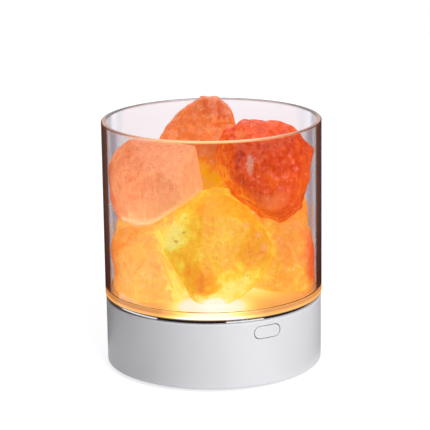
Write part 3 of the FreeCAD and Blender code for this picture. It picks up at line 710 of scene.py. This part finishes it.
def rock_salt(name, tones, near, far, spots, marks=(), washes=(), *, frost, cloudy, veil,
              streak=0.05, dust="#f5a078", power=0.95, seed=0.0):
    """Rock salt lit from inside: a waxy, cloudy body, deep in its thick parts, pale near the light.

    tones: its colours from the unlit end to the fully lit one.
    near, far: distance in mm from the lamp at which it glows fully and not at all.
    spots: (place, radii, gain) in mm, seen from the front, where more or less light comes through.
    marks: (place, radii, colour, strength) of chalky or dark marks on its skin, or of painted
    light.
    washes: the same, of tones that fade into it; some are painted shade on a flank by the cup's
    wall.
    frost: how much of its upper side is dusted pale. cloudy: how uneven its glow is.
    veil, dust: colours of its milky veils and of the dust on it.
    streak: how much its growth lines show. power: how brightly it glows. seed: moves its pattern.
    """
    finish, tree = new_finish(name)
    place, place_front = places(tree)
    moved = add(tree, "ShaderNodeMapping", {"Vector": place_front,
                                            "Location": (seed, 2 * seed, -seed)}).outputs[0]

    def noise(size, detail, low, high, out_low, out_high, rough=0.6, stretch=(1, 1, 1), clamp=True):
        """Noise with features of about this size in mm, spread over a range."""
        where = add(tree, "ShaderNodeMapping", {"Vector": moved, "Scale": stretch}).outputs[0]
        cloud = add(tree, "ShaderNodeTexNoise", {"Vector": where, "Scale": 1 / (size * MM),
                                                 "Detail": detail, "Roughness": rough,
                                                 "Distortion": 0.3})
        return add(tree, "ShaderNodeMapRange", {0: cloud.outputs[0], "From Min": low,
                   "From Max": high, "To Min": out_low, "To Max": out_high},
                   clamp=clamp).outputs[0]

    def near_place(centre, radii, gain, where):
        """gain at a centre, falling softly to 0 at an ellipsoid round it. where: the place."""
        off = add(tree, "ShaderNodeVectorMath", {0: where, 1: [v * MM for v in centre]},
                  operation="SUBTRACT")
        off = add(tree, "ShaderNodeVectorMath", {0: off.outputs[0], 1: [v * MM for v in radii]},
                  operation="DIVIDE")
        size = add(tree, "ShaderNodeVectorMath", {0: off.outputs[0]}, operation="LENGTH")
        return add(tree, "ShaderNodeMapRange", {0: size.outputs["Value"], "From Min": 0.0,
                   "From Max": 1.0, "To Min": gain, "To Max": 0.0},
                   interpolation_type="SMOOTHERSTEP").outputs[0]

    def total(*terms):
        """Terms added up."""
        result = terms[0]
        for term in terms[1:]:
            result = add(tree, "ShaderNodeMath", {0: result, 1: term}).outputs[0]
        return result

    def product(*terms):
        """Terms multiplied."""
        result = terms[0]
        for term in terms[1:]:
            result = add(tree, "ShaderNodeMath", {0: result, 1: term},
                         operation="MULTIPLY").outputs[0]
        return result

    def over(below, tone, share):
        """Lays a colour over another by a share."""
        return add(tree, "ShaderNodeMix", {"Factor": share, "A": below, "B": colour(tone)},
                   data_type="RGBA").outputs["Result"]

    def shifted(size, by):
        """The place, pushed about by noise, so that what is set round it has an uneven edge."""
        push = add(tree, "ShaderNodeTexNoise", {"Vector": moved, "Scale": 1 / (size * MM),
                                                "Detail": 3.0})
        push = add(tree, "ShaderNodeVectorMath", {0: push.outputs["Color"], 1: (0.5, 0.5, 0.5)},
                   operation="SUBTRACT")
        push = add(tree, "ShaderNodeVectorMath", {0: push.outputs[0], "Scale": by * MM},
                   operation="SCALE")
        return add(tree, "ShaderNodeVectorMath", {0: place_front, 1: push.outputs[0]}).outputs[0]

    clouded = shifted(7, 14)
    reach = add(tree, "ShaderNodeVectorMath", {0: place, 1: HEART}, operation="DISTANCE")
    glow = add(tree, "ShaderNodeMapRange", {0: reach.outputs["Value"], "From Min": near * MM,
               "From Max": far * MM, "To Min": 0.85, "To Max": 0.1}).outputs[0]
    for spot in spots:
        glow = total(glow, near_place(*spot, clouded))
    # thin edges pass more light, and clouds and growth lines in the salt pass less
    shape = add(tree, "ShaderNodeNewGeometry")
    thin = add(tree, "ShaderNodeMapRange", {0: shape.outputs["Pointiness"], "From Min": 0.46,
               "From Max": 0.56, "To Min": -0.14, "To Max": 0.2}).outputs[0]
    glow = total(glow, thin, noise(12, 3, 0.3, 0.7, -cloudy, cloudy, clamp=False),
                 noise(3.2, 4, 0.35, 0.65, -0.75 * cloudy, 0.75 * cloudy, 0.75, clamp=False),
                 noise(0.7, 3, 0.35, 0.65, -0.07, 0.07, 0.75, clamp=False),
                 noise(1.1, 2, 0.35, 0.65, -streak, streak, stretch=(1, 1, 0.1), clamp=False))
    ramp = add(tree, "ShaderNodeValToRGB", {0: glow})
    ends = ramp.color_ramp.elements
    ends[0].position, ends[0].color = 0.0, colour(tones[0])
    ends[1].position, ends[1].color = 1.0, colour(tones[-1])
    for number, tone in enumerate(tones[1:-1], 1):
        ends.new(number / (len(tones) - 1)).color = colour(tone)
    # dust lies on the upper side, in patches
    facing = add(tree, "ShaderNodeSeparateXYZ", {0: shape.outputs["Normal"]}).outputs[2]
    upper = add(tree, "ShaderNodeMapRange", {0: facing, "From Min": -0.5, "From Max": 0.8,
                                             "To Min": 0.25, "To Max": 1.0}).outputs[0]
    body = over(ramp.outputs[0], dust, product(noise(5, 4, 0.45, 0.7, 0, 1, 0.7),
                noise(0.9, 2, 0.35, 0.6, 0.35, 1), upper, frost))
    # milky veils run through the salt, where brine was shut in as it grew
    body = over(body, veil, product(noise(2.6, 6, 0.5, 0.68, 0, 0.8, 0.8),
                                    noise(9, 2, 0.4, 0.6, 0.25, 1)))
    for centre, radii, tone, strength in washes:
        body = over(body, tone, near_place(centre, radii, strength, clouded))
    ragged = shifted(1.6, 2.4)
    for centre, radii, tone, strength in marks:
        mark = near_place(centre, radii, 2.2 * strength, ragged)
        mark = add(tree, "ShaderNodeMath", {0: mark, 1: strength}, operation="MINIMUM").outputs[0]
        body = over(body, tone, mark)
    # a few specks of iron-brown clay
    body = over(body, "#9a4010", noise(1.3, 1, 0.74, 0.8, 0, 0.6, 0.4))
    # painted glints: tiny pale specks under a millimetre, thinly scattered in its colour and glow,
    # stand for light caught by open cleavage faces
    painted_glint = add(tree, "ShaderNodeTexVoronoi", {"Vector": moved, "Scale": 1 / (1.3 * MM)})
    painted_glint = add(tree, "ShaderNodeMapRange", {0: painted_glint.outputs["Distance"], "From Min": 0.12,
                  "From Max": 0.2, "To Min": 1, "To Max": 0}).outputs[0]
    body = over(body, "#ffe8d2", product(painted_glint, noise(4, 2, 0.56, 0.66, 0, 0.75)))
    shade = add(tree, "ShaderNodeMix", {"Factor": 1.0, "A": body, "B": (*[STUDIO_SHARE] * 3, 1)},
                data_type="RGBA", blend_type="MULTIPLY")
    bump = add(tree, "ShaderNodeBump", {"Height": noise(2.2, 5, 0, 1, 0, 1, 0.7), "Strength": 0.7,
                                        "Distance": 0.5 * MM})
    # salt by the wall glows brighter: painted light, standing for light that runs up inside the
    # wall
    by_wall = add(tree, "ShaderNodeMapRange", {0: from_axis(tree, place), "From Min": WALL_START,
                  "From Max": WALL_FULL, "To Min": power, "To Max": 1.4 * power})
    coat(tree, add(tree, "ShaderNodeBsdfPrincipled", {
        "Base Color": shade.outputs["Result"], "Roughness": 0.36, "IOR": 1.54,
        "Specular IOR Level": 0.28, "Subsurface Weight": 0.1,
        "Subsurface Radius": (1.0, 0.4, 0.15), "Subsurface Scale": 2 * MM,
        "Normal": bump.outputs[0], "Emission Color": body,
        "Emission Strength": by_wall.outputs[0]}).outputs[0])
    return finish


def lump(node, body, slot, finish, swell=0.9, flake=0.7, chip=0.35, soft=3):
    """Softens the split faces of a lump and chips them. Little of it grows past its split faces.

    swell, flake, chip: depth in mm of the slow waves, flakes and small chips. soft: how worn it is.
    """
    piece = dressed(node, body, slot, finish, name=node.replace("salt_", "lump_"))
    steps = piece.modifiers.new("skin", "REMESH")
    steps.mode = "VOXEL"
    steps.voxel_size = 0.5 * MM
    bpy.ops.object.modifier_apply(modifier="skin")
    tumble = piece.modifiers.new("tumble", "SMOOTH")
    tumble.factor = 0.5
    tumble.iterations = soft
    bpy.ops.object.modifier_apply(modifier="tumble")
    for name, noise, depth, level in (("swell", swells, swell, 0.5), ("flakes", flakes, flake, 0.4),
                                      ("chips", chips, chip, 0.45), ("grains", grains, 0.16, 0.5)):
        wear = piece.modifiers.new(name, "DISPLACE")
        wear.texture = noise
        wear.texture_coords = "LOCAL"
        wear.mid_level = level
        wear.strength = depth * MM
        bpy.ops.object.modifier_apply(modifier=name)
    bpy.ops.object.shade_smooth()
    return piece


# upper left: pale salmon, with a redder flank in the cup's shade
salmon = rock_salt("salmon_rock_salt", ("#d0602c", "#ea8454", "#fa9f68", "#fdb070", "#ffd098"),
                   20, 82,
                   [((-41, -4, 74), (6, 18, 20), -0.3), ((-12, -14, 72), (18, 14, 20), 0.15),
                    ((-28, -18, 58), (24, 16, 16), 0.5)],
                   washes=[((-41, -6, 64), (9, 22, 18), "#f26830", 0.9)],
                   frost=0.25, cloudy=0.1, streak=0.07, veil="#ffbc8a", power=1.02)
# upper right, and upper rear: deep red with fine upright growth lines and a chalky scar
red = rock_salt("red_rock_salt", ("#b02a04", "#d03c0c", "#e45018", "#f46414", "#ff9420"), 22, 84,
                [((1, -14, 80), (10, 12, 20), 0.6), ((9, -20, 69), (13, 12, 9), 0.5),
                 ((10, -22, 84), (2.6, 9, 12), -0.4), ((34, -14, 80), (11, 14, 18), 0.3)],
                [((14.3, -24.4, 85.2), (1.9, 6, 5.5), "#e0a088", 0.7),
                 ((11, -14, 94.6), (3.6, 5, 2.8), "#ec8048", 0.5)],
                [((22, -25, 70), (10, 13, 7), "#f28044", 0.7)],
                frost=0.3, streak=0.1, cloudy=0.15, veil="#ee6c30", dust="#ea743c", power=0.93,
                seed=0.031)
# upper back: copper orange, dusty on top, and alight where it stands over the lamp
copper = rock_salt("copper_rock_salt", ("#cc5424", "#dc6830", "#ec7830", "#fb8410", "#fcae18"),
                   24, 78,
                   [((-2, 8, 66), (18, 16, 22), 0.55), ((0, 14, 100), (14, 14, 10), -0.3)],
                   frost=0.65, cloudy=0.14, veil="#f4a070", power=0.87, seed=0.017)
# lower left and rear left: orange that turns yellow towards the lamp, with painted shade, a deeper
# orange, on its flank by the cup's wall
orange = rock_salt("orange_rock_salt", ("#f06c20", "#fb9438", "#fdb254", "#fdc258", "#ffe668"),
                   20, 66,
                   [((-42, -8, 46), (6, 18, 30), -0.3), ((-12, -26, 40), (8.5, 15, 18), 1.0),
                    ((-18, -3, 51), (11, 18, 9), 0.9)],
                   washes=[((-41, -8, 46), (9, 22, 30), "#fb7c20", 0.9)],
                   frost=0.3, cloudy=0.16, veil="#ffc87c", power=0.98, seed=0.053)
# lower right, rear right and rear: the same salt, redder on its far side by the cup's wall, in
# painted shade
coral = rock_salt("coral_rock_salt", ("#ea5a20", "#f88038", "#fa9c34", "#fdb63e", "#ffdc5c"),
                  18, 66,
                  [((19, -14, 54), (12, 12, 12), 0.45)],
                  washes=[((41, -10, 44), (11, 22, 24), "#f25a28", 0.95)],
                  frost=0.3, cloudy=0.18, veil="#ffbc70", seed=0.09)
# lower front and core: amber salt right over the lamp
amber = rock_salt("amber_rock_salt",
                  ("#f08834", "#fca028", "#fdb02c", "#ffc434", "#ffe04c", "#fff07c"), 12, 62,
                  [((-17, -20, 57), (20, 18, 15), 0.6), ((-6, -31, 40), (11, 12, 13), -0.45),
                   ((0, -31, 33), (12, 10, 7), 0.9), ((10, -31, 39), (14, 14, 8), 0.45),
                   ((11, -29, 48), (5, 7, 4), 0.35),
                   ((16, -24, 52), (10, 12, 12), -0.3)],
                  [((-10.9, -22.7, 58.1), (1.1, 3, 0.9), "#c07c1c", 0.6),
                   ((-14.3, -22.8, 54.9), (1.0, 3, 0.8), "#c07c1c", 0.6),
                   # painted light: a near-white patch low in front, over the floor's hot spot
                   ((0, -31, 32.5), (7, 6, 3), "#fffff0", 0.8),
                   ((12.5, -23.2, 61.3), (1.8, 3, 1.8), "#fbb080", 0.5),
                   ((17.5, -22.2, 56.8), (1.5, 3, 1.5), "#fbb080", 0.5),
                   ((19.2, -22.8, 52.2), (1.6, 3, 2.0), "#fbb080", 0.5)],
                  frost=0.12, cloudy=0.17, veil="#ffca38", dust="#fdb044", seed=0.071)

lump("salt_lower_left", "salt_bed", "salt_orange", orange, soft=8)
lump("salt_lower_front", "salt_bed", "salt_amber", amber, soft=2)
lump("salt_lower_right", "salt_bed", "salt_orange", coral, soft=6)
lump("salt_rear_left", "salt_bed", "salt_red", orange)
lump("salt_core", "salt_bed", "salt_amber", amber)
lump("salt_rear_right", "salt_bed", "salt_orange", coral)
lump("salt_rear", "salt_bed", "salt_orange", coral)
lump("salt_upper_left", "left_lump", "salt_salmon", salmon, flake=0.5, chip=0.25, soft=14)
lump("salt_upper_right", "right_lump", "salt_red", red, swell=1.1, flake=1.3, chip=1.0, soft=2)
lump("salt_upper_back", "back_lump", "salt_orange", copper, flake=0.9, chip=0.7, soft=2)
lump("salt_upper_rear", "rear_lump", "salt_red", red, flake=0.9, chip=0.6)
